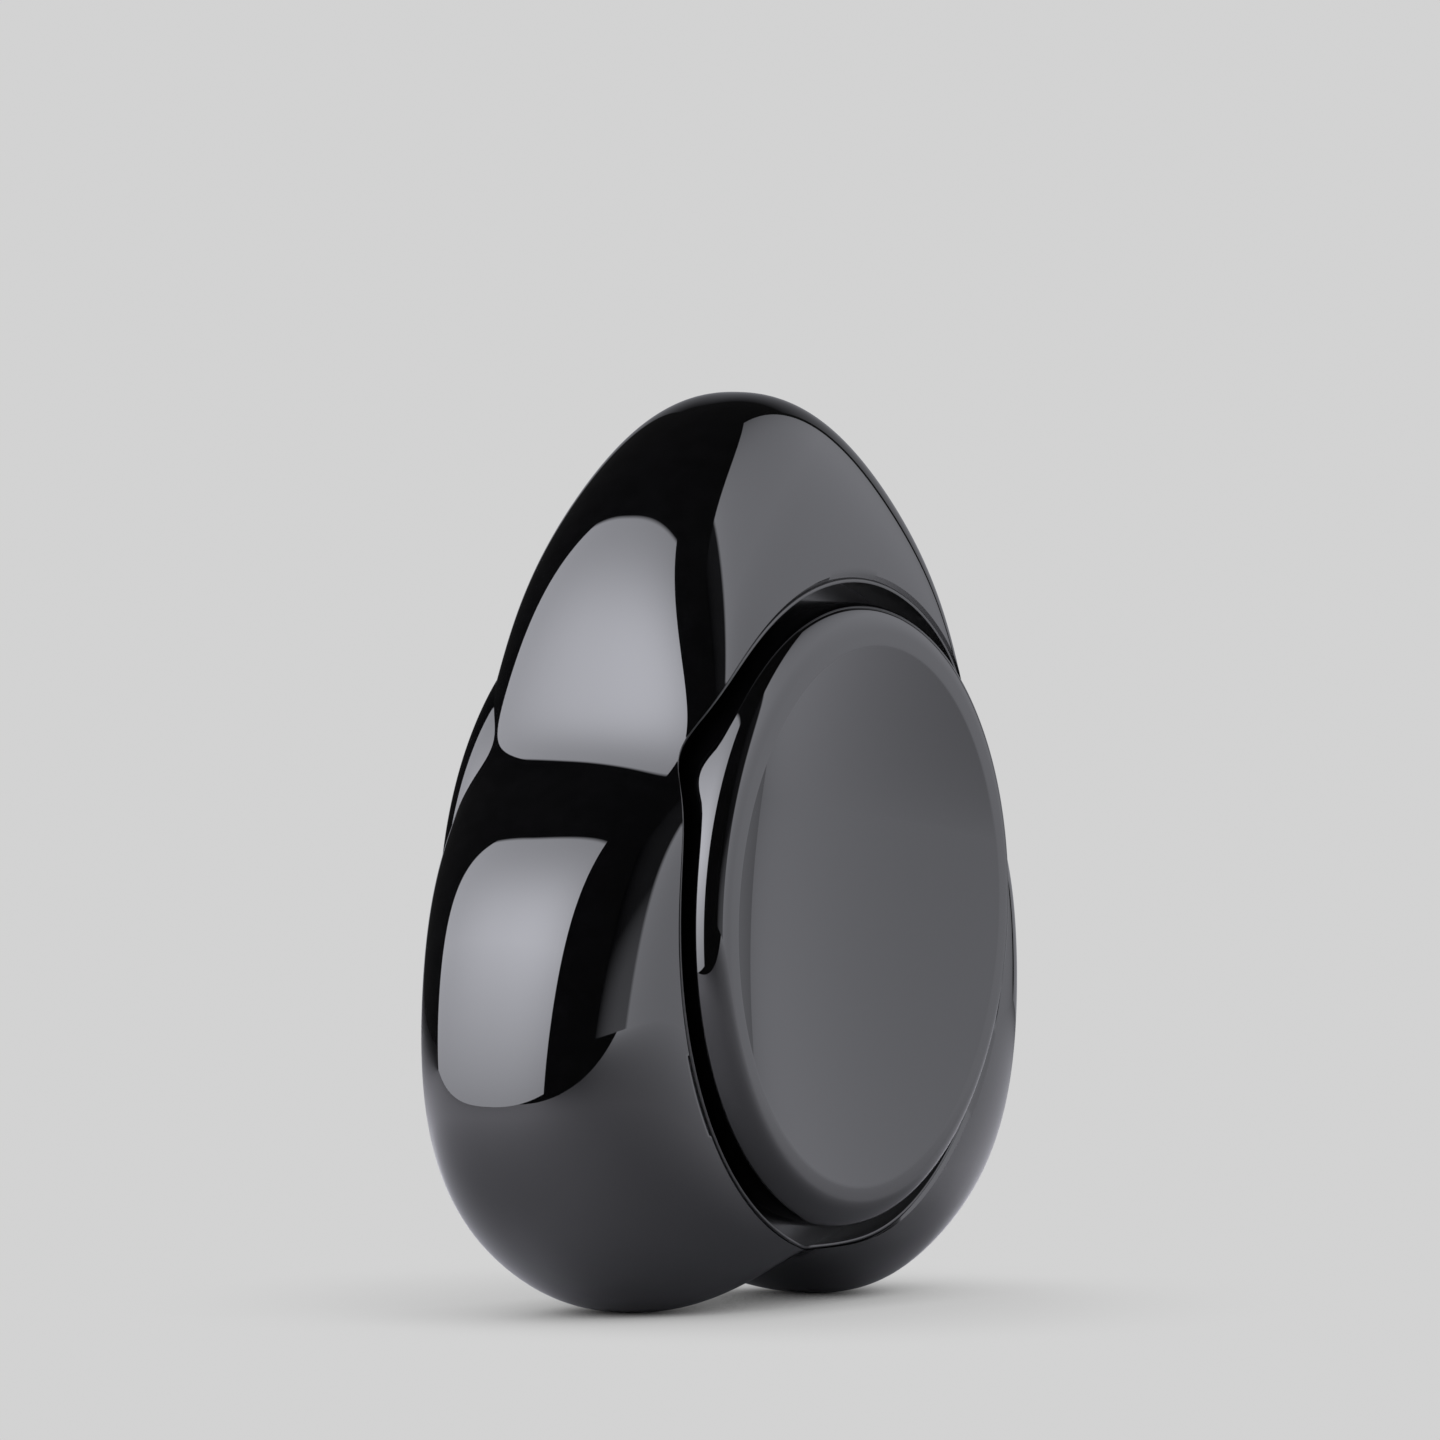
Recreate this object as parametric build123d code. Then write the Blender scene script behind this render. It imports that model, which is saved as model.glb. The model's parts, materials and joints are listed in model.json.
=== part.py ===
"""Three-lobed face roller: a polished stone body that turns on a ball bearing between two finger caps.

Frame: millimetres, +Z up, origin at the bearing's centre. The body and the caps turn about Y,
the front cap looks along -Y, and the roller stands on two of its lobes.
"""

import os
from math import cos, pi, radians, sin

from build123d import *

# --- driving dimensions ---------------------------------------------------------------------

# outline of the body in the XZ plane: a circle that three swells turn into a trefoil
OUTLINE_MEAN_R = 26.42  # mean radius of the outline
LOBE_SWELL = 4.61  # how far the lobes stand out and the waists draw in
LOBE_FLATTEN = -0.49  # second term of the swell
LOBE_POINT = 0.39  # third term of the swell
TOP_LOBE = 90  # angle of the lobe that points up

# cross-section of the body: a soft-cornered oval between the crown circle and the outline
CROWN_R = 18.0
BODY_HALF_T = 8.3
SIDE_ROUNDNESS = 2.1  # exponent across the lobe
FACE_ROUNDNESS = 2.3  # exponent through the thickness
SKIN_STATIONS = 14  # sections on each side of the middle plane
SKIN_POINTS = 72  # points around each section

# recess in each face, and the web that is left between the two
RECESS_R = 20.0
WEB_HALF_T = 5.0
RECESS_EDGE_R = 0.25

# bearing, a deep-groove ball bearing of the common 8 x 22 x 7 size
BEARING_OD = 22.0
BEARING_ID = 8.0
BEARING_HALF_W = 3.5
BALL_D = 3.969
BALL_COUNT = 7
BALL_PITCH_R = 7.5
GROOVE_PLAY = 0.03
OUTER_LAND_R = 8.9
INNER_LAND_R = 6.05
SHIELD_T = 0.3
SHIELD_SEAT_R = 9.6
SHIELD_HOLE_R = 6.3
SHIELD_INSET = 0.2
CAGE_R = (6.45, 8.5)
CAGE_Y = (-0.9, 2.6)
CAGE_PLAY = 0.05

# sleeve that holds the bearing in the stone
SLEEVE_OD = 26.0
SHOULDER_ID = 20.0
CIRCLIP_T = 1.0
CIRCLIP_GROOVE_D = 23.1
CIRCLIP_OD = 23.0
CIRCLIP_RADIAL_W = 1.6
CIRCLIP_GAP_DEG = 36
CIRCLIP_EAR_R = 1.5
CIRCLIP_EYE_D = 1.2

# stack between the two finger caps, measured outwards from the bearing
SHIM_T = 0.4
SHIM_OD = 11.0
HUB_BOSS_OD = 11.0
HUB_BOSS_END = 5.2
HUB_FLANGE_OD = 33.0
HUB_FLANGE_END = 6.1
SPINDLE_GAP = 0.05  # what lets each screw clamp its hub against the shim and the bearing
SCREW_SEAT = 4.8
SCREW_POCKET_D = 8.0
SCREW_D = 4.0
SCREW_HEAD_D = 7.0
SCREW_HEAD_T = 0.9
SCREW_TIP = 0.8
HEX_SOCKET = 2.5
HEX_DEPTH = 0.6
WASHER_T = 0.4
WASHER_D = (4.1, 7.0)
ADHESIVE_T = 0.2
ADHESIVE_D = (17.0, 31.0)

# finger cap
CAP_R = 18.6
CAP_FRONT = 9.8
CAP_SKIRT = 5.4
CAP_SIDE_END = 8.0
CAP_ROLL_R = 16.9  # where the flat rim starts to roll over the edge
DISH_R = 16.1
DISH_DEPTH = 2.4
CAP_POCKET_R = 16.7

SLIP = 0.02  # what separates a shaft and the bore that it is glued or clamped in


# --- helpers --------------------------------------------------------------------------------


def turned(outline):
    """Solid turned about the Y axis from (radius, y) points of its half section."""
    section = Polyline(*[(r, y, 0) for r, y in outline], close=True)
    return revolve(make_face(section), axis=Axis.Y)


def ring(inner_r, outer_r, y0, y1):
    """Plain ring or disc between two stations on the axis."""
    return turned([(inner_r, y0), (outer_r, y0), (outer_r, y1), (inner_r, y1)])


def disc(radius, y0, y1):
    return ring(0, radius, y0, y1)


def to_rear(shape):
    """The rear copy of a piece that is made for the front side."""
    return shape.mirror(Plane.XZ)


def outline_radius(angle):
    swell = radians(angle - TOP_LOBE)
    return (
        OUTLINE_MEAN_R
        + LOBE_SWELL * cos(3 * swell)
        + LOBE_FLATTEN * cos(6 * swell)
        + LOBE_POINT * cos(9 * swell)
    )


def skin_section(y):
    """Closed curve of the body's skin at one distance from the middle plane."""
    reach = max(0.0, 1 - abs(y / BODY_HALF_T) ** FACE_ROUNDNESS) ** (1 / SIDE_ROUNDNESS)
    points = []
    for i in range(SKIN_POINTS):
        angle = 360 * i / SKIN_POINTS
        r = CROWN_R + (outline_radius(angle) - CROWN_R) * reach
        points.append((r * cos(radians(angle)), y, r * sin(radians(angle))))
    knots = [i / SKIN_POINTS for i in range(SKIN_POINTS + 1)]
    return Wire([Edge.make_spline(points, periodic=True, parameters=knots)])


# --- body and bearing seat ------------------------------------------------------------------


def roller_body():
    turns = [pi / 2 * i / SKIN_STATIONS for i in range(-SKIN_STATIONS, SKIN_STATIONS + 1)]
    skin = Solid.make_loft([skin_section(BODY_HALF_T * sin(t)) for t in turns])
    recess = disc(RECESS_R, -2 * BODY_HALF_T, -WEB_HALF_T)
    blank = skin - recess - to_rear(recess)
    edges = [e for e in blank.edges() if on_recess_wall(e)]
    blank = fillet(edges, RECESS_EDGE_R)
    return blank - disc(SLEEVE_OD / 2, -WEB_HALF_T, WEB_HALF_T)


def on_recess_wall(edge):
    """Is this the edge where a recess wall comes out through the skin?"""
    middle = edge.position_at(0.5)
    return abs((middle.X**2 + middle.Z**2) ** 0.5 - RECESS_R) < 0.01 and abs(middle.Y) > WEB_HALF_T + 0.5


def bearing_sleeve():
    outer_r, bore_r = SLEEVE_OD / 2 - SLIP, BEARING_OD / 2
    groove_end = -BEARING_HALF_W - CIRCLIP_T - 0.05
    return turned(
        [
            (bore_r, -WEB_HALF_T),
            (outer_r, -WEB_HALF_T),
            (outer_r, WEB_HALF_T),
            (SHOULDER_ID / 2, WEB_HALF_T),
            (SHOULDER_ID / 2, BEARING_HALF_W),
            (bore_r, BEARING_HALF_W),
            (bore_r, -BEARING_HALF_W),
            (CIRCLIP_GROOVE_D / 2, -BEARING_HALF_W),
            (CIRCLIP_GROOVE_D / 2, groove_end),
            (bore_r, groove_end),
        ]
    )


def retaining_ring():
    """Internal circlip: an open ring with an eyed ear on each side of its gap."""
    y1, y0 = -BEARING_HALF_W, -BEARING_HALF_W - CIRCLIP_T
    outer_r = CIRCLIP_OD / 2
    middle_r = outer_r - CIRCLIP_RADIAL_W
    clip = ring(middle_r, outer_r, y0, y1)
    half_gap = radians(CIRCLIP_GAP_DEG / 2)
    far = 2 * outer_r
    wedge = make_face(
        Polyline(
            (0, y0 - 1, 0),
            (far * sin(half_gap), y0 - 1, far * cos(half_gap)),
            (-far * sin(half_gap), y0 - 1, far * cos(half_gap)),
            close=True,
        )
    )
    clip -= extrude(wedge, CIRCLIP_T + 2, dir=(0, 1, 0))
    ear_angle = half_gap + CIRCLIP_EAR_R / middle_r
    for side in (-1, 1):
        place = Pos(side * middle_r * sin(ear_angle), y1, middle_r * cos(ear_angle)) * Rot(90, 0, 0)
        ear = extrude(place * Circle(CIRCLIP_EAR_R), CIRCLIP_T)
        eye = extrude(place * Circle(CIRCLIP_EYE_D / 2), CIRCLIP_T)
        clip = clip + ear - eye
    return clip


def ball_groove():
    """Torus that the balls run in, with their play."""
    track = make_face(CenterArc((BALL_PITCH_R, 0, 0), BALL_D / 2 + GROOVE_PLAY, 0, 360))
    return revolve(track, axis=Axis.Y)


def bearing_outer_ring():
    w, seat = BEARING_HALF_W, BEARING_HALF_W - SHIELD_INSET - SHIELD_T
    outer_r = BEARING_OD / 2 - SLIP / 2
    blank = turned(
        [
            (SHIELD_SEAT_R, -w),
            (outer_r, -w),
            (outer_r, w),
            (SHIELD_SEAT_R, w),
            (SHIELD_SEAT_R, seat),
            (OUTER_LAND_R, seat),
            (OUTER_LAND_R, -seat),
            (SHIELD_SEAT_R, -seat),
        ]
    )
    return blank - ball_groove()


def bearing_inner_ring():
    return ring(BEARING_ID / 2, INNER_LAND_R, -BEARING_HALF_W, BEARING_HALF_W) - ball_groove()


def balls(radius):
    places = [360 * i / BALL_COUNT for i in range(BALL_COUNT)]
    centres = [(BALL_PITCH_R * cos(radians(a)), 0, BALL_PITCH_R * sin(radians(a))) for a in places]
    return [Pos(*c) * Sphere(radius) for c in centres]


def bearing_cage():
    """Snap-in cage: a ring whose pockets are open on the front side."""
    cage = ring(*CAGE_R, *CAGE_Y)
    for pocket in balls(BALL_D / 2 + CAGE_PLAY):
        cage -= pocket
    return cage


def bearing_shield():
    y1 = -BEARING_HALF_W + SHIELD_INSET
    return ring(SHIELD_HOLE_R, SHIELD_SEAT_R, y1, y1 + SHIELD_T)


# --- stack that carries the finger caps -----------------------------------------------------


def hub_start():
    return BEARING_HALF_W + SHIM_T


def spindle():
    half_length = hub_start() - SPINDLE_GAP
    return ring(SCREW_D / 2, BEARING_ID / 2 - SLIP / 2, -half_length, half_length)


def hub():
    """Flanged hub that the screw clamps against the shim; a pocket takes the screw's head."""
    screw_hole_r = SCREW_D / 2 + 0.1
    return turned(
        [
            (screw_hole_r, -hub_start()),
            (HUB_BOSS_OD / 2, -hub_start()),
            (HUB_BOSS_OD / 2, -HUB_BOSS_END),
            (HUB_FLANGE_OD / 2, -HUB_BOSS_END),
            (HUB_FLANGE_OD / 2, -HUB_FLANGE_END),
            (SCREW_POCKET_D / 2, -HUB_FLANGE_END),
            (SCREW_POCKET_D / 2, -SCREW_SEAT),
            (screw_hole_r, -SCREW_SEAT),
        ]
    )


def hub_screw():
    head_start = -SCREW_SEAT - WASHER_T
    head_end = head_start - SCREW_HEAD_T
    shank = disc(SCREW_D / 2 - SLIP, head_start, -SCREW_TIP)
    head = disc(SCREW_HEAD_D / 2, head_end, head_start)
    socket_start = Pos(0, head_end, 0) * Rot(90, 0, 0)
    socket = extrude(
        socket_start * RegularPolygon(HEX_SOCKET / 2, 6, major_radius=False), -HEX_DEPTH
    )
    return head + shank - socket


def lock_washer():
    inner_d, outer_d = WASHER_D
    return ring(inner_d / 2, outer_d / 2, -SCREW_SEAT - WASHER_T, -SCREW_SEAT)


def shim():
    return ring(BEARING_ID / 2, SHIM_OD / 2, -hub_start(), -BEARING_HALF_W)


def adhesive_ring():
    inner_d, outer_d = ADHESIVE_D
    return ring(inner_d / 2, outer_d / 2, -HUB_FLANGE_END - ADHESIVE_T, -HUB_FLANGE_END)


def finger_cap():
    """Dished cap: a spherical dish, a flat rim, a rolled edge, and a back with a pocket for the hub."""
    floor_y = -CAP_FRONT + DISH_DEPTH
    back_y = -HUB_FLANGE_END - ADHESIVE_T
    bowl_r = (DISH_R**2 + DISH_DEPTH**2) / (2 * DISH_DEPTH)
    half_angle = pi / 2 - 0.5 * (DISH_R / bowl_r)
    on_bowl = (bowl_r * cos(half_angle), floor_y - bowl_r + bowl_r * sin(half_angle))
    bowl = ThreePointArc((0, floor_y), on_bowl, (DISH_R, -CAP_FRONT))
    rim = Line((DISH_R, -CAP_FRONT), (CAP_ROLL_R, -CAP_FRONT))
    roll = EllipticalCenterArc(
        (CAP_ROLL_R, -CAP_SIDE_END),
        CAP_R - CAP_ROLL_R,
        CAP_FRONT - CAP_SIDE_END,
        start_angle=270,
        arc_size=90,
    )
    side_and_back = Polyline(
        (CAP_R, -CAP_SIDE_END),
        (CAP_R, -CAP_SKIRT),
        (CAP_POCKET_R, -CAP_SKIRT),
        (CAP_POCKET_R, back_y),
        (0, back_y),
        (0, floor_y),
    )
    return revolve(make_face([bowl, rim, roll, side_and_back]), axis=Axis.Y)


# --- export ---------------------------------------------------------------------------------

os.makedirs("parts", exist_ok=True)

pieces = {
    "roller_body": roller_body(),
    "bearing_sleeve": bearing_sleeve(),
    "retaining_ring": retaining_ring(),
    "bearing_outer_ring": bearing_outer_ring(),
    "bearing_inner_ring": bearing_inner_ring(),
    "bearing_balls": Compound(children=balls(BALL_D / 2)),
    "bearing_cage": bearing_cage(),
    "spindle": spindle(),
}

paired = {
    "bearing_{}_shield": bearing_shield(),
    "{}_shim": shim(),
    "{}_hub": hub(),
    "{}_lock_washer": lock_washer(),
    "{}_hub_screw": hub_screw(),
    "{}_adhesive_ring": adhesive_ring(),
    "{}_finger_cap": finger_cap(),
}
for name, front in paired.items():
    pieces[name.format("front")] = front
    pieces[name.format("rear")] = to_rear(front)

for name, piece in pieces.items():
    export_step(piece, f"parts/{name}.step")
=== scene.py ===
"""Looks of the three-lobed face roller: polished black stone, turned metal inside, a pale studio.

Metres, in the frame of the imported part: +Z up, the turning axis is Y, the front cap looks along -Y.
"""

import json
from math import acos, asin, atan2, copysign, cos, hypot, pi, radians, sin

import bmesh
import bpy
from mathutils import Matrix, Vector


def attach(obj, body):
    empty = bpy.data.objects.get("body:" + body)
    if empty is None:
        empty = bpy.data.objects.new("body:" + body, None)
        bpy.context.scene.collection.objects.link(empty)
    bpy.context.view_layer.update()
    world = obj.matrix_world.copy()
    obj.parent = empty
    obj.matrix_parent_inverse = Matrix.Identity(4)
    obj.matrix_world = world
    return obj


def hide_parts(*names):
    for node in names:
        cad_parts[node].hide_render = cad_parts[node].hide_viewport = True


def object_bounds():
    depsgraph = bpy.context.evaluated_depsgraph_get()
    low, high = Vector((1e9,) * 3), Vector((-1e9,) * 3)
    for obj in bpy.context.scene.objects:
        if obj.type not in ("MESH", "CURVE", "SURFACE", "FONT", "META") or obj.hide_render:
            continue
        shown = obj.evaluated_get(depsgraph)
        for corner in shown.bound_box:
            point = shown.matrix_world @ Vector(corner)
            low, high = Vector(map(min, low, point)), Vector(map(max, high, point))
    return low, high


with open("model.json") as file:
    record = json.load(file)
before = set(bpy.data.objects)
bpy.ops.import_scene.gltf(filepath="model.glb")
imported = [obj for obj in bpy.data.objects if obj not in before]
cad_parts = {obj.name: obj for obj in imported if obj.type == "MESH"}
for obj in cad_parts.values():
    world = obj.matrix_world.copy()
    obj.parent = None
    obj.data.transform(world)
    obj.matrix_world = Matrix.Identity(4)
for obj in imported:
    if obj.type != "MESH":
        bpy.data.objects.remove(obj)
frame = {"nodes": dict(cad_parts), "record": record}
cad_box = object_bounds()
nodes = frame["nodes"]
scene = bpy.context.scene

MM = 0.001

# --- stone shapes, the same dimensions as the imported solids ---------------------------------

OUTLINE_MEAN_R = 26.42 * MM
LOBE_SWELL = 4.61 * MM
LOBE_FLATTEN = -0.49 * MM
LOBE_POINT = 0.39 * MM
CROWN_R = 18.0 * MM
BODY_HALF_T = 8.3 * MM
SIDE_ROUNDNESS = 2.1
FACE_ROUNDNESS = 2.3
RECESS_R = 20.0 * MM
WEB_HALF_T = 5.0 * MM
BORE_R = 13.0 * MM
RECESS_EDGE_R = 0.25 * MM
EDGE_SUPPORT = 0.2 * MM  # straight wall kept beside a rounded edge

CAP_R = 18.6 * MM
CAP_FRONT = 9.8 * MM
CAP_SKIRT = 5.4 * MM
CAP_SIDE_END = 8.0 * MM
CAP_ROLL_R = 16.9 * MM
CAP_BACK = 6.3 * MM
CAP_POCKET_R = 16.7 * MM
DISH_R = 16.1 * MM
DISH_DEPTH = 2.4 * MM
DISH_EDGE_R = 0.06 * MM

BODY_TURNS = 384
BODY_ROWS = 112
CAP_TURNS = 288
DISH_ROWS = 30
ROLL_ROWS = 12
SHARP_FROM = radians(40)

STONE_IOR = 1.66
GROUND_ROUGHNESS = 0.3
GROUND_FADE = 0.05 * MM


# --- shader writing -------------------------------------------------------------------------


class Value:
    """A socket whose operators add Math nodes."""

    def __init__(self, shader, socket):
        self.shader = shader
        self.socket = socket

    def _math(self, operation, *terms):
        sockets = dict(enumerate(terms))
        return self.shader.node("ShaderNodeMath", {"operation": operation}, sockets)

    def __add__(self, other):
        return self._math("ADD", self, other)

    __radd__ = __add__

    def __sub__(self, other):
        return self._math("SUBTRACT", self, other)

    def __rsub__(self, other):
        return self._math("SUBTRACT", other, self)

    def __mul__(self, other):
        return self._math("MULTIPLY", self, other)

    __rmul__ = __mul__

    def __truediv__(self, other):
        return self._math("DIVIDE", self, other)

    def __pow__(self, other):
        return self._math("POWER", self, other)

    def below(self, other):
        return self._math("MINIMUM", self, other)

    def above(self, other):
        return self._math("MAXIMUM", self, other)

    def root(self):
        return self._math("SQRT", self)


class Shader:
    """A material under construction."""

    def __init__(self, name):
        self.material = bpy.data.materials.new(name)
        self.material.use_nodes = True
        self.tree = self.material.node_tree
        self.tree.nodes.clear()

    def node(self, kind, settings=None, sockets=None, output=0):
        """Adds a node: its settings first, then the values or links of its sockets."""
        made = self.tree.nodes.new(kind)
        for name, value in (settings or {}).items():
            if name == "stops":
                self.set_stops(made.color_ramp, value)
            else:
                setattr(made, name, value)
        for key, value in (sockets or {}).items():
            if isinstance(value, Value):
                self.tree.links.new(value.socket, made.inputs[key])
            else:
                made.inputs[key].default_value = value
        return Value(self, made.outputs[output]) if made.outputs else None

    @staticmethod
    def set_stops(ramp, stops):
        while len(ramp.elements) < len(stops):
            ramp.elements.new(1.0)
        for element, (place, level) in zip(ramp.elements, stops):
            element.position = place
            element.color = level if len(level) == 4 else (*level, 1.0)

    def place(self):
        """Object coordinates, in metres."""
        return self.node("ShaderNodeTexCoord", output="Object")

    def split(self, vector):
        """The three coordinates of a vector."""
        parts = self.node("ShaderNodeSeparateXYZ", sockets={0: vector}).socket.node
        return [Value(self, out) for out in parts.outputs]

    def noise(self, where, scale, detail=2.0, roughness=0.5):
        sockets = {"Vector": where, "Scale": scale, "Detail": detail, "Roughness": roughness}
        return self.node("ShaderNodeTexNoise", sockets=sockets)

    def ramp(self, value, stops):
        """Colours a number by stops of (place, colour)."""
        return self.node("ShaderNodeValToRGB", {"stops": stops}, {0: value})

    def blend(self, amount, first, second):
        """Mixes two colours, through the Mix node's colour sockets."""
        sockets = {0: amount, 6: first, 7: second}
        return self.node("ShaderNodeMix", {"data_type": "RGBA"}, sockets, output=2)

    def bump(self, height, distance, strength=1.0):
        sockets = {"Height": height, "Distance": distance, "Strength": strength}
        return self.node("ShaderNodeBump", sockets=sockets)

    def surface(self, **sockets):
        """Principled surface; an underscore stands for a space in a socket's name."""
        named = {key.replace("_", " "): value for key, value in sockets.items()}
        return self.node("ShaderNodeBsdfPrincipled", sockets=named)

    def emission(self, colour):
        return self.node("ShaderNodeEmission", sockets={"Color": colour, "Strength": 1.0})

    def finish(self, shader):
        self.node("ShaderNodeOutputMaterial", sockets={0: shader})
        return self.material


def rgb(*levels):
    return (*levels, 1.0)


def grey_stops(*stops):
    """Ramp stops of (place, grey level)."""
    return [(place, (level,) * 3) for place, level in stops]


# --- materials ------------------------------------------------------------------------------


def polished_stone(name, ground_r):
    """Jet-black stone under a mirror polish, left ground within a radius of the turning axis."""
    s = Shader(name)
    where = s.place()
    x, y, z = s.split(where)
    ground = ((ground_r - (x * x + z * z).root()) / GROUND_FADE + 1).above(0.0).below(1.0)
    grain = s.noise(where, 900.0, 5.0, 0.6)
    clouds = s.noise(where, 60.0, 3.0, 0.55)
    depth = s.ramp(grain * 0.6 + clouds * 0.4, [(0.42, (0, 0, 0)), (0.72, (1, 1, 1))])
    haze = s.ramp(s.noise(where, 140.0, 4.0, 0.7), [(0.4, (0.012,) * 3), (0.8, (0.03,) * 3)])
    waves = s.noise(where, 90.0, 1.0, 0.4)
    return s.finish(
        s.surface(
            Base_Color=s.blend(depth, rgb(0.0004, 0.0004, 0.0005), rgb(0.0012, 0.0012, 0.0013)),
            Roughness=haze * (1 - ground) + ground * GROUND_ROUGHNESS,
            IOR=STONE_IOR,
            Normal=s.bump(waves, 0.000003),
        )
    )


def turned_metal(name, colour, roughness, pitch):
    """Metal with fine lathe rings round the axis."""
    s = Shader(name)
    where = s.place()
    x, y, z = s.split(where)
    radius = (x * x + z * z).root()
    rings = s.node(
        "ShaderNodeTexNoise",
        {"noise_dimensions": "1D"},
        {"W": radius * (1.0 / pitch) + y * (0.6 / pitch), "Scale": 1.0, "Detail": 2.0},
    )
    stain = s.noise(where, 220.0, 3.0)
    tone = s.blend(stain, rgb(*[0.86 * c for c in colour]), rgb(*colour))
    return s.finish(
        s.surface(
            Base_Color=tone,
            Metallic=1.0,
            Roughness=rings * 0.14 + roughness,
            Normal=s.bump(rings, 0.000012),
        )
    )


def lapped_balls():
    """Bright steel with the faint haze of lapping."""
    s = Shader("lapped_balls")
    haze = s.noise(s.place(), 700.0, 3.0)
    tone = s.blend(haze, rgb(0.72, 0.72, 0.73), rgb(0.8, 0.8, 0.81))
    return s.finish(s.surface(Base_Color=tone, Metallic=1.0, Roughness=haze * 0.05 + 0.04))


def cage_nylon():
    """Glass-filled nylon: flow marks and the tooth of fibres."""
    s = Shader("cage_nylon")
    where = s.place()
    flow = s.noise(where, 260.0, 4.0)
    fibres = s.noise(where, 2600.0, 2.0)
    tone = s.blend(flow, rgb(0.5, 0.37, 0.2), rgb(0.6, 0.46, 0.27))
    return s.finish(
        s.surface(Base_Color=tone, Roughness=flow * 0.2 + 0.42, Normal=s.bump(fibres, 0.00001))
    )


def pressed_sheet():
    """Pressed shield steel with light scuffs."""
    s = Shader("pressed_sheet")
    where = s.place()
    scuffs = s.noise(where, 420.0, 5.0, 0.7)
    tone = s.blend(scuffs, rgb(0.55, 0.55, 0.56), rgb(0.68, 0.68, 0.69))
    return s.finish(
        s.surface(
            Base_Color=tone,
            Metallic=1.0,
            Roughness=scuffs * 0.22 + 0.2,
            Normal=s.bump(scuffs, 0.000008),
        )
    )


def blackened_steel(name, dark, light, roughness):
    """Phosphated or oxidised steel: dark, a little mottled, with a fine tooth."""
    s = Shader(name)
    where = s.place()
    mottle = s.noise(where, 500.0, 6.0, 0.65)
    tooth = s.noise(where, 3200.0, 2.0)
    tone = s.blend(mottle, rgb(*dark), rgb(*light))
    return s.finish(
        s.surface(
            Base_Color=tone,
            Metallic=0.85,
            Roughness=mottle * 0.2 + roughness,
            Normal=s.bump(tooth, 0.000008),
        )
    )


def foam_tape():
    """Matt foam with open cells at its cut face."""
    s = Shader("foam_tape")
    where = s.place()
    cells = s.node("ShaderNodeTexVoronoi", sockets={"Vector": where, "Scale": 2400.0})
    tone = s.blend(cells, rgb(0.1, 0.1, 0.1), rgb(0.2, 0.2, 0.2))
    return s.finish(s.surface(Base_Color=tone, Roughness=0.9, Normal=s.bump(cells, 0.00004)))


cap_stone_finish = polished_stone("cap_stone", 0.0)
roller_stone_finish = polished_stone("roller_stone", RECESS_R)
finishes = {
    "turned_aluminium": turned_metal("turned_aluminium", (0.76, 0.77, 0.78), 0.2, 0.00012),
    "bearing_steel": turned_metal("ground_bearing_steel", (0.64, 0.64, 0.65), 0.12, 0.00005),
    "turned_steel": turned_metal("turned_steel", (0.58, 0.58, 0.59), 0.2, 0.0001),
    "bearing_balls": lapped_balls(),
    "nylon": cage_nylon(),
    "pressed_steel": pressed_sheet(),
    "spring_steel": blackened_steel("spring_steel", (0.05, 0.05, 0.055), (0.12, 0.12, 0.125), 0.34),
    "black_screw_steel": blackened_steel(
        "black_screw_steel", (0.025, 0.025, 0.028), (0.07, 0.07, 0.074), 0.28
    ),
    "adhesive_foam": foam_tape(),
    "polished_stone": cap_stone_finish,
}
for part in frame["record"]["subparts"]:
    mesh = nodes[part["node"]].data
    mesh.materials.clear()
    mesh.materials.append(finishes[part["material_slot"]])


# --- stone pieces ---------------------------------------------------------------------------


def lathe(profile, turns, closed):
    """Turns a (radius, y) profile about the Y axis."""
    bm = bmesh.new()
    points = [bm.verts.new((r, y, 0.0)) for r, y in profile]
    edges = [bm.edges.new(pair) for pair in zip(points, points[1:])]
    if closed:
        edges.append(bm.edges.new((points[-1], points[0])))
    bmesh.ops.spin(
        bm,
        geom=points + edges,
        cent=(0.0, 0.0, 0.0),
        axis=(0.0, 1.0, 0.0),
        angle=2 * pi,
        steps=turns,
        use_merge=True,
    )
    bmesh.ops.remove_doubles(bm, verts=bm.verts, dist=1e-7)
    return bm


def soften(bm, edges, width, segments):
    """Rounds edges."""
    bmesh.ops.bevel(
        bm,
        geom=edges,
        affect="EDGES",
        offset=width,
        segments=segments,
        profile=0.5,
        material=-1,
    )


def add_piece(name, bm, material, node, body):
    """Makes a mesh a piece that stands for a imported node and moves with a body."""
    bmesh.ops.recalc_face_normals(bm, faces=bm.faces)
    mesh = bpy.data.meshes.new(name)
    bm.to_mesh(mesh)
    bm.free()
    mesh.shade_smooth()
    mesh.set_sharp_from_angle(angle=SHARP_FROM)
    mesh.materials.append(material)
    piece = bpy.data.objects.new(name, mesh)
    scene.collection.objects.link(piece)
    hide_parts(node)
    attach(piece, body)


def outline_radius(angle):
    """Reach of the three-lobed outline at an angle about the turning axis, from +X towards +Z."""
    swell = angle - pi / 2
    return (
        OUTLINE_MEAN_R
        + LOBE_SWELL * cos(3 * swell)
        + LOBE_FLATTEN * cos(6 * swell)
        + LOBE_POINT * cos(9 * swell)
    )


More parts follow.
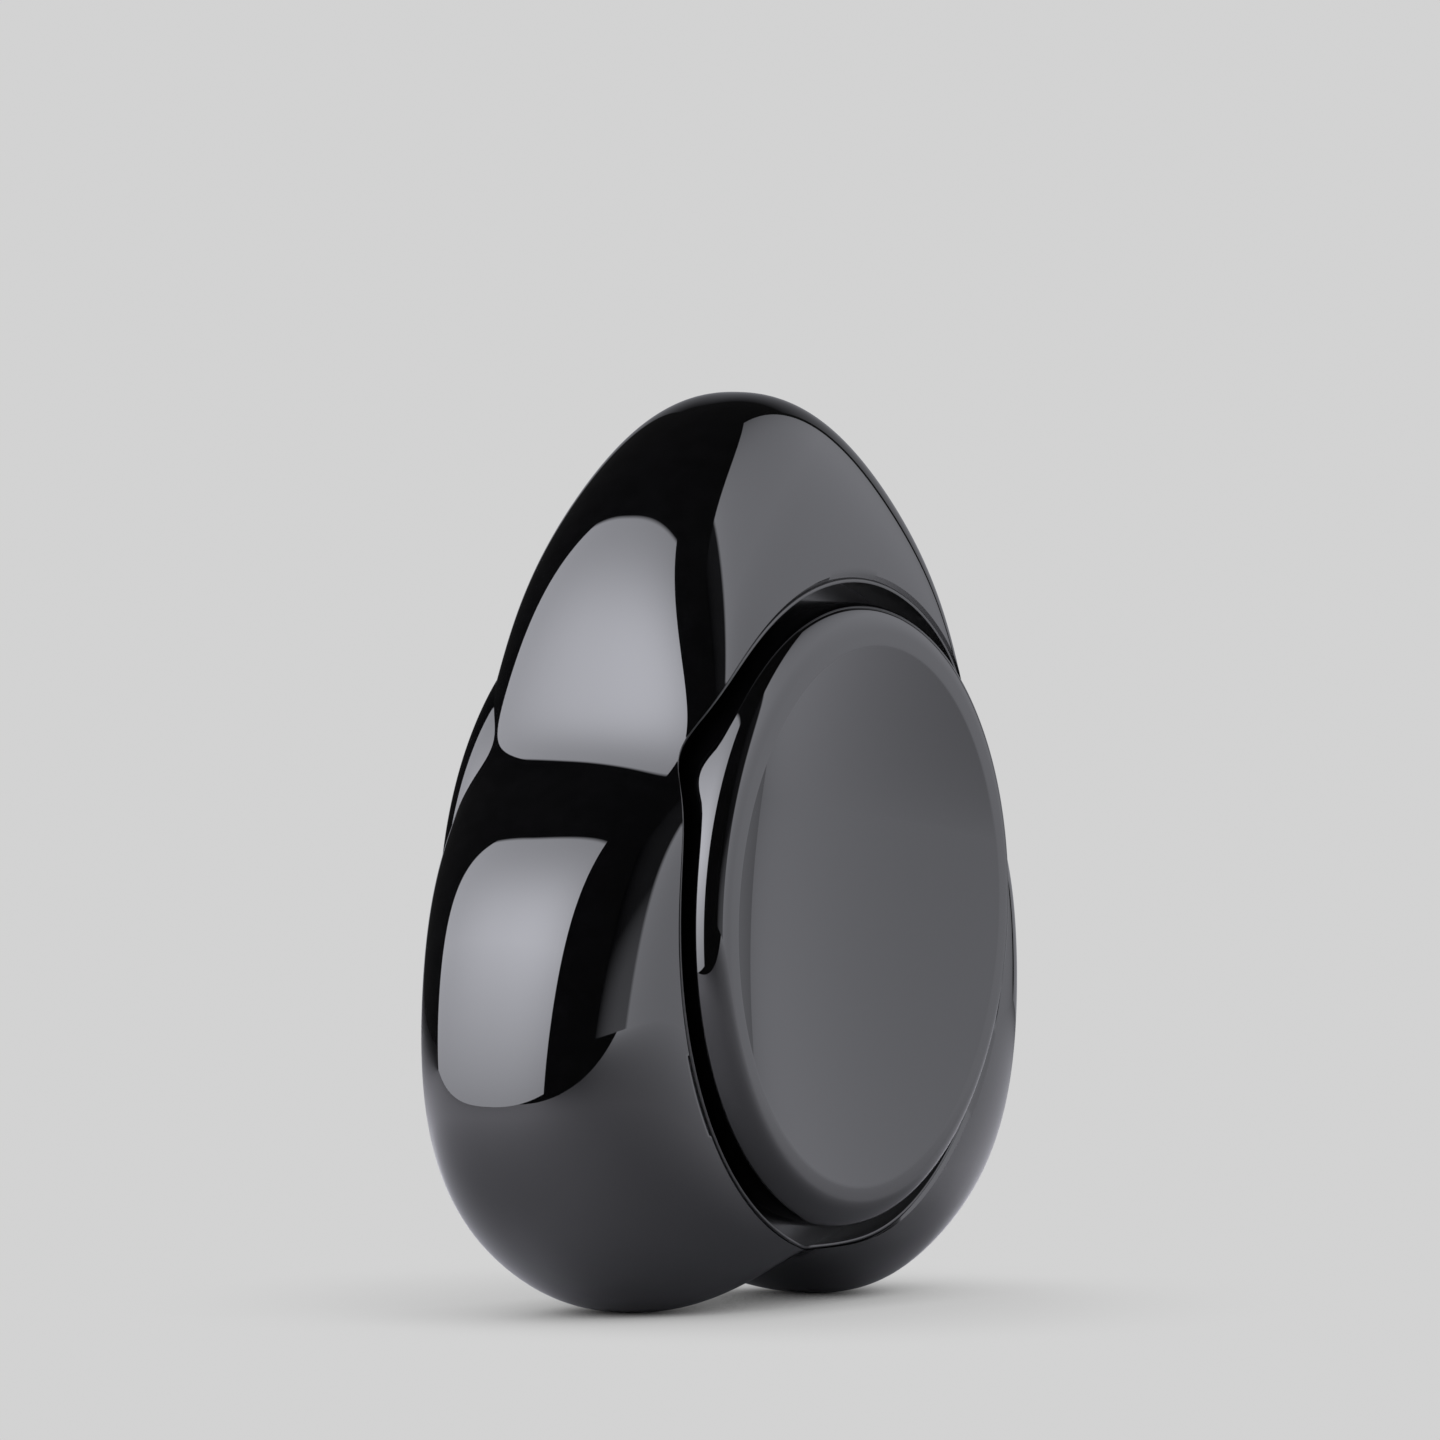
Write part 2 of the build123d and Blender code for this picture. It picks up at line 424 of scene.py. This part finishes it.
def skin_point(angle, share):
    """Point of the body's skin; share runs from -1 at the front recess edge to 1 at the rear one."""
    reach = outline_radius(angle) - CROWN_R
    edge_turn = acos(((RECESS_R - CROWN_R) / reach) ** (SIDE_ROUNDNESS / 2))
    turn = abs(share) * edge_turn
    radius = CROWN_R + reach * cos(turn) ** (2 / SIDE_ROUNDNESS)
    height = BODY_HALF_T * sin(turn) ** (2 / FACE_ROUNDNESS)
    return radius * cos(angle), height if share > 0 else -height, radius * sin(angle)


def roller_stone():
    """Three-lobed body: a drum whose outer wall is drawn onto the skin, with a recess on each face."""
    drum_r = 2 * RECESS_R
    drum_half = RECESS_R
    wall = [(drum_r, drum_half * (2 * i / BODY_ROWS - 1)) for i in range(BODY_ROWS + 1)]
    held = BODY_HALF_T - RECESS_EDGE_R
    step = [(RECESS_R, held), (RECESS_R, WEB_HALF_T), (BORE_R, WEB_HALF_T)]
    mirrored = [(r, -y) for r, y in reversed(step)]
    bm = lathe(wall + step + mirrored, BODY_TURNS, closed=True)
    rim_points = set()
    for v in bm.verts:
        x, y, z = v.co
        if hypot(x, z) > 1.5 * RECESS_R:
            share = y / drum_half
            v.co = skin_point(atan2(z, x), share)
            if abs(share) > 1 - 1e-5:
                rim_points.add(v)
        elif abs(y) > 0.99 * held:
            rim_y = skin_point(atan2(z, x), 1)[1]
            v.co.y = copysign(rim_y - RECESS_EDGE_R - EDGE_SUPPORT, y)
    rims = [e for e in bm.edges if rim_points.issuperset(e.verts)]
    soften(bm, rims, RECESS_EDGE_R, 4)
    add_piece("roller_stone", bm, roller_stone_finish, "roller_body", "roller")


def cap_stone(side, out):
    """Finger cap; out is -1 for the front one and 1 for the rear one."""
    bowl_r = (DISH_R**2 + DISH_DEPTH**2) / (2 * DISH_DEPTH)
    bowl_angle = asin(DISH_R / bowl_r)
    floor_y = CAP_FRONT - DISH_DEPTH
    profile = []
    for i in [*range(DISH_ROWS), DISH_ROWS - 0.2, DISH_ROWS]:
        a = bowl_angle * i / DISH_ROWS
        profile.append((bowl_r * sin(a), floor_y + bowl_r * (1 - cos(a))))
    profile.append((DISH_R + EDGE_SUPPORT, CAP_FRONT))
    for i in range(ROLL_ROWS + 1):
        a = pi / 2 * i / ROLL_ROWS
        r = CAP_ROLL_R + (CAP_R - CAP_ROLL_R) * sin(a)
        profile.append((r, CAP_SIDE_END + (CAP_FRONT - CAP_SIDE_END) * cos(a)))
    profile.append((CAP_R, CAP_SIDE_END - EDGE_SUPPORT))
    profile += [(CAP_R, CAP_SKIRT), (CAP_POCKET_R, CAP_SKIRT), (CAP_POCKET_R, CAP_BACK), (0.0, CAP_BACK)]
    bm = lathe([(r, out * y) for r, y in profile], CAP_TURNS, closed=False)
    edge = [
        e
        for e in bm.edges
        if all(abs(hypot(v.co.x, v.co.z) - DISH_R) < 1e-6 and abs(v.co.y) > CAP_SKIRT for v in e.verts)
    ]
    soften(bm, edge, DISH_EDGE_R, 3)
    add_piece(f"{side}_cap_stone", bm, cap_stone_finish, f"{side}_finger_cap", "caps")


roller_stone()
cap_stone("front", -1)
cap_stone("rear", 1)


# --- camera ---------------------------------------------------------------------------------

SIGHT_AZIMUTH = radians(-60.78)
SIGHT_ELEVATION = radians(2.615)
SIGHT_ROLL = radians(1.08)
SIGHT_DISTANCE = 0.8822
AIM_SIDE = -0.42 * MM  # the point aimed at, from the bearing's centre
AIM_RISE = 11.32 * MM
LENS = 369.1
SENSOR_WIDTH = 36.0


def heading(azimuth, elevation=0.0):
    """Direction at an angle from the front (-Y) towards +X."""
    flat = cos(elevation)
    return Vector((sin(azimuth) * flat, -cos(azimuth) * flat, sin(elevation)))


def add_camera():
    """Camera at the sight's place, turned to its aim and then rolled a little."""
    sight = heading(SIGHT_AZIMUTH, SIGHT_ELEVATION)
    level = heading(SIGHT_AZIMUTH + pi / 2)
    rise = sight.cross(level)
    side = level * cos(SIGHT_ROLL) + rise * sin(SIGHT_ROLL)
    rise = sight.cross(side)
    place = sight * SIGHT_DISTANCE
    back = (place - side * AIM_SIDE - rise * AIM_RISE).normalized()
    side = (side - back * side.dot(back)).normalized()
    turn = Matrix((side, back.cross(side), back)).transposed().to_4x4()
    data = bpy.data.cameras.new("camera")
    data.sensor_width = SENSOR_WIDTH
    data.lens = LENS
    data.clip_start = 0.05
    camera = bpy.data.objects.new("camera", data)
    camera.matrix_world = Matrix.Translation(place) @ turn
    scene.collection.objects.link(camera)
    scene.camera = camera


add_camera()


# --- studio ---------------------------------------------------------------------------------

FLOOR_Z = cad_box[0].z
PALE = 0.65  # what the floor and the backdrop send to the camera
TINT = (0.966, 0.975, 1.059)  # the cool cast of every light sheet
ROOM_LEVEL = 0.02
SHADE_REACH = 0.035
MIRRORED_ONLY = ("camera", "shadow")
SEEN_ONLY = ("diffuse", "glossy", "transmission", "shadow")

DIFFUSER_AZIMUTH = SIGHT_AZIMUTH - radians(43)
DIFFUSER_DISTANCE = 0.075
DIFFUSER_ENDS = (-0.17, 0.052)
DIFFUSER_TOP = 0.222
DIFFUSER_LEVEL = 2.8
LAMP_LEVEL = 4.2
LAMP_ACROSS = 0.01
LAMP_RISE = 0.025
LAMP_HALF_WIDTH = 0.062
LAMP_HALF_HEIGHT = 0.052

CARD_AZIMUTH = SIGHT_AZIMUTH + radians(105)
CARD_DISTANCE = 0.2
CARD_ENDS = (-0.45, 0.215)
CARD_TOP = 0.55
CARD_LEVEL = 1.6
CARD_FALL = 4.3  # loss of level for each metre towards the rear
CARD_DIP = 0.42  # loss of level at the foot
CARD_DIP_HEIGHT = 0.18
CARD_EDGE = -0.2  # where the bright part starts; before it there is only a dim skirt

BACK_AZIMUTH = SIGHT_AZIMUTH + radians(172)
BACK_DISTANCE = 0.3
BACK_ENDS = (-0.09, 0.12)
BACK_TOP = 0.26

FRONT_EDGE_AZIMUTH = SIGHT_AZIMUTH - radians(20)
FRONT_EDGE_DISTANCE = 0.077
LIT_FLOOR_R = 0.6
# SHADOWED_R: reach of the painted shade round the object on the mirrored floor; SWEEP_START: where its
# painted glow towards the card begins
SHADOWED_R = 0.06
SWEEP_START = 0.01
LAYER_GAP = 0.00002  # keeps the two floors apart
STAGE_R = 3.0
BACKDROP_R = 3.2


def add_stage(name, bm, material, hidden_from):
    """Puts up a part of the studio, hidden from some kinds of ray."""
    mesh = bpy.data.meshes.new(name)
    bm.to_mesh(mesh)
    bm.free()
    mesh.materials.append(material)
    thing = bpy.data.objects.new(name, mesh)
    scene.collection.objects.link(thing)
    for ray in hidden_from:
        setattr(thing, f"visible_{ray}", False)


def upright_sheet(azimuth, distance, ends, top):
    """Sheet that stands on the floor, square to a heading; its ends are measured along it."""
    bm = bmesh.new()
    bmesh.ops.create_grid(bm, x_segments=1, y_segments=1, size=0.5)
    along = heading(azimuth + pi / 2)
    foot = heading(azimuth) * distance
    for v in bm.verts:
        s = ends[0] + (ends[1] - ends[0]) * (v.co.x + 0.5)
        z = FLOOR_Z + (top - FLOOR_Z) * (v.co.y + 0.5)
        v.co = foot + along * s + Vector((0.0, 0.0, z))
    bmesh.ops.recalc_face_normals(bm, faces=bm.faces)
    return bm


def measure(s, azimuth):
    """Distance along a sheet that stands at a heading, distance towards it, and height."""
    x, y, z = s.split(s.place())
    along = heading(azimuth + pi / 2)
    ahead = heading(azimuth)
    return x * along.x + y * along.y, x * ahead.x + y * ahead.y, z


def glow(s, level):
    """Light of one brightness with the studio's tint."""
    colour = s.node(
        "ShaderNodeCombineColor", sockets={i: level * share for i, share in enumerate(TINT)}
    )
    return s.emission(colour)


def add_diffuser():
    """Bright sheet on the left, with the lamp's glow low on it and a soft upper edge."""
    s = Shader("diffuser_sheet")
    across, ahead, z = measure(s, DIFFUSER_AZIMUTH)
    beside = (across - LAMP_ACROSS) / LAMP_HALF_WIDTH
    above = (z - LAMP_RISE) / LAMP_HALF_HEIGHT
    off_lamp = beside**2 + above**2
    lamp = (off_lamp + 1) ** -1
    foot = s.ramp((z - FLOOR_Z) / 0.05, grey_stops((0.0, 0.68), (1.0, 1.0)))
    upper = s.ramp(z / DIFFUSER_TOP, grey_stops((0.9, 1.0), (1.0, 0.0)))
    material = s.finish(glow(s, (lamp * LAMP_LEVEL + DIFFUSER_LEVEL) * foot * upper))
    bm = upright_sheet(DIFFUSER_AZIMUTH, DIFFUSER_DISTANCE, DIFFUSER_ENDS, DIFFUSER_TOP)
    add_stage("diffuser", bm, material, MIRRORED_ONLY)


def card_level(across):
    return across * -CARD_FALL + CARD_LEVEL


def add_bounce_card():
    """Card on the right that falls off to the rear and towards its foot."""
    s = Shader("bounce_card")
    across, ahead, z = measure(s, CARD_AZIMUTH)
    dip = (1 - (z - FLOOR_Z) / CARD_DIP_HEIGHT).above(0.0) * CARD_DIP
    edge = s.ramp((across - CARD_EDGE) / 0.02, grey_stops((0.0, 0.0), (1.0, 1.0)))
    start = CARD_ENDS[0]
    before = (across - start) / (CARD_EDGE - start)
    skirt = s.ramp(before, grey_stops((0.0, 0.0), (0.8, 0.32), (1.0, 0.36)))
    skirt_height = s.ramp((z - FLOOR_Z) / 0.12, grey_stops((0.0, 1.0), (0.35, 0.8), (1.0, 0.1)))
    share = (skirt * skirt_height).above(edge)
    material = s.finish(glow(s, (card_level(across) - dip).above(0.0) * share))
    bm = upright_sheet(CARD_AZIMUTH, CARD_DISTANCE, CARD_ENDS, CARD_TOP)
    add_stage("bounce_card", bm, material, MIRRORED_ONLY)


def add_back_sheet():
    """Low dim sheet behind, for the stone's glancing edges."""
    s = Shader("back_sheet")
    across, ahead, z = measure(s, BACK_AZIMUTH)
    rise = s.ramp(z / BACK_TOP, grey_stops((0.0, 0.32), (0.7, 0.16), (1.0, 0.04)))
    bm = upright_sheet(BACK_AZIMUTH, BACK_DISTANCE, BACK_ENDS, BACK_TOP)
    add_stage("back_sheet", bm, s.finish(glow(s, rise)), MIRRORED_ONLY)


def add_lit_floor():
    """The floor as the stone mirrors it: lit by the sheets, with painted shade near the object and a
    painted glow swept up into the card.
    """
    s = Shader("lit_floor")
    x, y, z = s.split(s.place())
    across, ahead, z = measure(s, CARD_AZIMUTH)
    up_card = (ahead - SWEEP_START) / (CARD_DISTANCE - SWEEP_START)
    sweep = s.ramp(up_card, grey_stops((0.0, 0.0), (1.0, 1.0)))
    reach = (x * x + y * y).root()
    # painted shade: the floor's colour darkens within SHADOWED_R of the object
    clear_of_painted_shade = s.ramp(reach / SHADOWED_R, grey_stops((0.1, 0.0), (1.0, 1.0)))
    tone = s.blend(clear_of_painted_shade, rgb(0.3, 0.3, 0.31), rgb(0.62, 0.61, 0.62))
    paint = s.surface(Base_Color=tone, Roughness=0.9, Specular_IOR_Level=0.0)
    # painted light: towards the card the floor glows at the card's level, mixed in by the sweep
    painted_floor_glow = glow(s, (card_level(across) - CARD_DIP).above(0.0))
    material = s.finish(s.node("ShaderNodeMixShader", sockets={0: sweep, 1: paint, 2: painted_floor_glow}))
    bm = bmesh.new()
    bmesh.ops.create_circle(bm, cap_ends=True, segments=96, radius=LIT_FLOOR_R)
    bmesh.ops.translate(bm, verts=bm.verts, vec=(0.0, 0.0, FLOOR_Z - LAYER_GAP))
    bmesh.ops.bisect_plane(
        bm,
        geom=bm.verts[:] + bm.edges[:] + bm.faces[:],
        plane_co=heading(FRONT_EDGE_AZIMUTH) * FRONT_EDGE_DISTANCE,
        plane_no=heading(FRONT_EDGE_AZIMUTH),
        clear_outer=True,
    )
    add_stage("lit_floor", bm, material, MIRRORED_ONLY)


def add_floor():
    """The floor as the camera sees it: even, with a soft shade where the object stands."""
    s = Shader("pale_floor")
    shade = s.node("ShaderNodeAmbientOcclusion", {"samples": 16}, {"Distance": SHADE_REACH}, output="AO")
    level = s.ramp(shade, grey_stops((0.0, 0.0), (0.24, 0.55), (0.5, 0.8), (0.85, 1.0))) * PALE
    material = s.finish(s.emission(level))
    bm = bmesh.new()
    bmesh.ops.create_circle(bm, cap_ends=True, segments=96, radius=STAGE_R)
    bmesh.ops.translate(bm, verts=bm.verts, vec=(0.0, 0.0, FLOOR_Z))
    add_stage("floor", bm, material, SEEN_ONLY)


def add_backdrop():
    """Pale dome that only the camera sees."""
    s = Shader("pale_backdrop")
    material = s.finish(s.emission(rgb(PALE, PALE, PALE)))
    bm = bmesh.new()
    bmesh.ops.create_icosphere(bm, subdivisions=4, radius=BACKDROP_R)
    bmesh.ops.reverse_faces(bm, faces=bm.faces)
    add_stage("backdrop", bm, material, SEEN_ONLY)


def add_world():
    world = bpy.data.worlds.new("dark_room")
    world.use_nodes = True
    background = world.node_tree.nodes["Background"]
    background.inputs["Color"].default_value = rgb(ROOM_LEVEL, ROOM_LEVEL, ROOM_LEVEL)
    scene.world = world


add_diffuser()
add_bounce_card()
add_back_sheet()
add_lit_floor()
add_floor()
add_backdrop()
add_world()
scene.view_settings.view_transform = "Standard"
